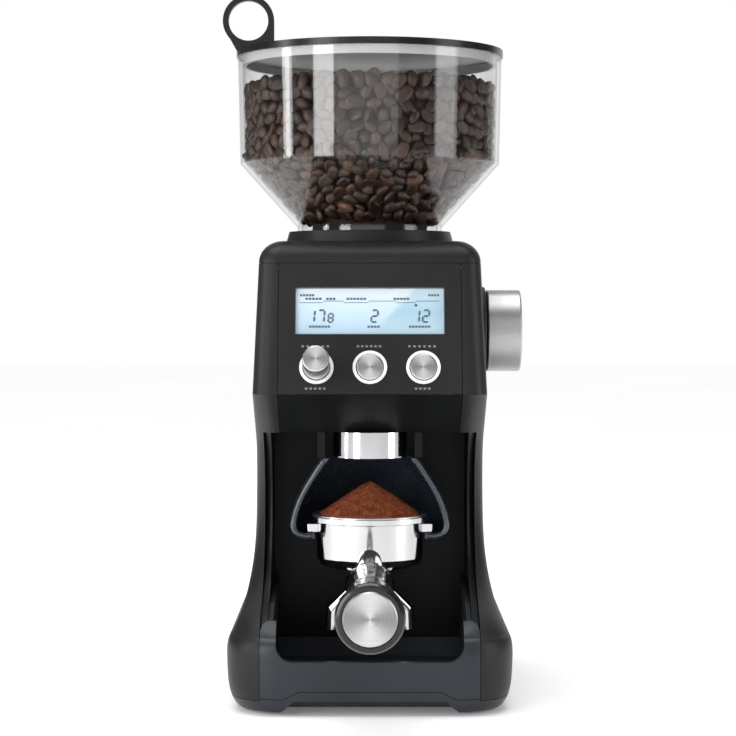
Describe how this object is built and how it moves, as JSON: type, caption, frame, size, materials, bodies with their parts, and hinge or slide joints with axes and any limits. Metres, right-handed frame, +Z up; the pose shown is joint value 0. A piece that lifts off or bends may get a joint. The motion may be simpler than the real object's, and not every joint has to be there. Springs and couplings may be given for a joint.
{
  "type": "burr coffee grinder",
  "caption": "Domestic conical burr coffee grinder with clear hopper, display panel, side grind dial, cradle with docked portafilter and a pull-out grounds tray.",
  "frame": {"origin": "middle of the footprint of the whole machine, with the docked portafilter counted, on the surface it stands on", "axes": "+Z up, the longest extent; the control panel and portafilter face -Y; +X is the side with the grind dial"},
  "size_m": [0.1678, 0.3154, 0.3898],
  "materials": {
    "black_housing": "moulded satin black with fine texture",
    "smoked_clear": "lightly smoked clear plastic, moulded smooth",
    "lid_black": "gloss black",
    "lid_smoke": "translucent light grey",
    "coffee_bean": "dark roasted, slightly oily",
    "ground_coffee": "loose fine grounds",
    "chrome": "polished",
    "brushed_steel": "spun brushed",
    "aluminium": "brushed along the length",
    "display": "clear display window",
    "display_panel": "pale blue lit panel",
    "circuit_board": "green laminate",
    "inner_black": "plain moulded black",
    "tray_grey": "satin blue grey",
    "cradle_black": "gloss black",
    "grip_black": "satin black",
    "rubber": "matt",
    "steel": "machined",
    "gear_nylon": "natural nylon",
    "brass": "machined",
    "gland_black": "moulded rubber",
    "white_ring": "bright white trim"
  },
  "bodies": {
    "housing": {"left_side_cover": "black_housing", "right_side_cover": "black_housing", "rear_cover": "black_housing", "rear_cover_screws": "steel", "cord_gland": "gland_black", "top_cover": "black_housing", "front_fascia": "black_housing", "chin_panel": "inner_black", "alcove_liner": "inner_black", "base_plate": "tray_grey", "rubber_feet": "rubber", "hopper_seat": "black_housing", "display_window": "display", "display_module": "display_panel", "control_board": "circuit_board", "button_rings": "white_ring", "dial_bezel": "black_housing", "dial_bush": "brass", "grind_chamber": "inner_black", "exit_chute": "inner_black", "outlet_tube": "chrome", "intermediate_pin": "steel", "motor_can": "steel", "shaft_bushes": "brass", "gearbox_base": "steel", "gearbox_cover": "inner_black", "chassis_posts": "inner_black", "power_board": "circuit_board"},
    "lid": {"lid_disc": "lid_smoke", "lid_band": "lid_black"},
    "hopper": {"hopper_shell": "smoked_clear", "hopper_base": "inner_black", "coffee_beans": "coffee_bean"},
    "hopper_dial": {"hopper_dial": "inner_black"},
    "adjust_ring": {"adjust_ring": "gear_nylon"},
    "upper_burr": {"burr_carrier": "inner_black", "upper_burr": "steel"},
    "grind_dial": {"grind_dial": "aluminium", "dial_shaft": "steel"},
    "lower_burr": {"burr_shaft": "steel", "lower_burr": "steel", "impeller": "gear_nylon", "burr_nut": "steel", "output_gear": "gear_nylon"},
    "intermediate_gear": {"intermediate_gear": "gear_nylon"},
    "motor_rotor": {"motor_rotor": "steel"},
    "dose_stem": {"dose_stem": "inner_black"},
    "dose_knob": {"dose_knob": "brushed_steel"},
    "cups_button": {"cups_button": "brushed_steel"},
    "start_button": {"start_button": "brushed_steel"},
    "trigger": {"trigger_plunger": "inner_black"},
    "cradle": {"cradle": "cradle_black"},
    "portafilter": {"portafilter_bowl": "chrome", "filter_basket": "steel", "ground_coffee": "ground_coffee", "handle_neck": "chrome", "handle_grip": "grip_black", "handle_end_cap": "brushed_steel", "spout": "chrome"},
    "tray": {"grounds_tray": "tray_grey"}
  },
  "joints": [
    {"name": "lid_lift", "type": "slide", "parent": "hopper", "child": "lid", "axis": [0, 0, 1], "range_m": [0, 0.06]},
    {"name": "hopper_lift", "type": "slide", "parent": "housing", "child": "hopper", "axis": [0, 0, 1], "range_m": [0, 0.05]},
    {"name": "hopper_lock_turn", "type": "hinge", "parent": "hopper", "child": "hopper_dial", "pos_m": [0, 0.048, 0.25], "axis": [0, 0, 1], "range_deg": [0, 90]},
    {"name": "grind_dial_turn", "type": "hinge", "parent": "housing", "child": "grind_dial", "pos_m": [0.066, 0.048, 0.2015], "axis": [1, 0, 0], "range_deg": [-150, 150]},
    {"name": "adjust_ring_turn", "type": "hinge", "parent": "housing", "child": "adjust_ring", "pos_m": [0, 0.048, 0.214], "axis": [0, 0, 1], "range_deg": [-30.5, 30.5]},
    {"name": "burr_gap", "type": "slide", "parent": "housing", "child": "upper_burr", "axis": [0, 0, 1], "range_m": [-0.00062, 0.00062]},
    {"name": "motor_spin", "type": "hinge", "parent": "housing", "child": "motor_rotor", "pos_m": [0, 0.11, 0.1], "axis": [0, 0, 1], "continuous": true},
    {"name": "intermediate_spin", "type": "hinge", "parent": "housing", "child": "intermediate_gear", "pos_m": [0, 0.079, 0.158], "axis": [0, 0, 1], "continuous": true},
    {"name": "burr_spin", "type": "hinge", "parent": "housing", "child": "lower_burr", "pos_m": [0, 0.048, 0.19], "axis": [0, 0, 1], "continuous": true},
    {"name": "dose_press", "type": "slide", "parent": "housing", "child": "dose_stem", "axis": [0, 0.954, -0.2999], "range_m": [0, 0.0015], "stiffness_N_per_m": 800},
    {"name": "dose_turn", "type": "hinge", "parent": "dose_stem", "child": "dose_knob", "pos_m": [-0.0283, -0.04251, 0.1833], "axis": [0, -0.954, 0.2999], "continuous": true},
    {"name": "cups_press", "type": "slide", "parent": "housing", "child": "cups_button", "axis": [0, 0.954, -0.2999], "range_m": [0, 0.0015], "stiffness_N_per_m": 800},
    {"name": "start_press", "type": "slide", "parent": "housing", "child": "start_button", "axis": [0, 0.954, -0.2999], "range_m": [0, 0.0015], "stiffness_N_per_m": 800},
    {"name": "trigger_press", "type": "slide", "parent": "housing", "child": "trigger", "axis": [0, 1, 0], "range_m": [0, 0.003], "stiffness_N_per_m": 400},
    {"name": "cradle_slide", "type": "slide", "parent": "housing", "child": "cradle", "axis": [0, -1, 0], "range_m": [0, 0.1]},
    {"name": "portafilter_slide", "type": "slide", "parent": "cradle", "child": "portafilter", "axis": [0, -1, 0], "range_m": [0, 0.11]},
    {"name": "tray_slide", "type": "slide", "parent": "housing", "child": "tray", "axis": [0, -1, 0], "range_m": [0, 0.13]}
  ],
  "couplings": [
    {"joint": "adjust_ring_turn", "follows": "grind_dial_turn", "ratio": -0.2},
    {"joint": "burr_gap", "follows": "grind_dial_turn", "m_per_rad": 0.00023},
    {"joint": "intermediate_spin", "follows": "motor_spin", "ratio": -0.29167},
    {"joint": "burr_spin", "follows": "motor_spin", "ratio": 0.085069}
  ]
}
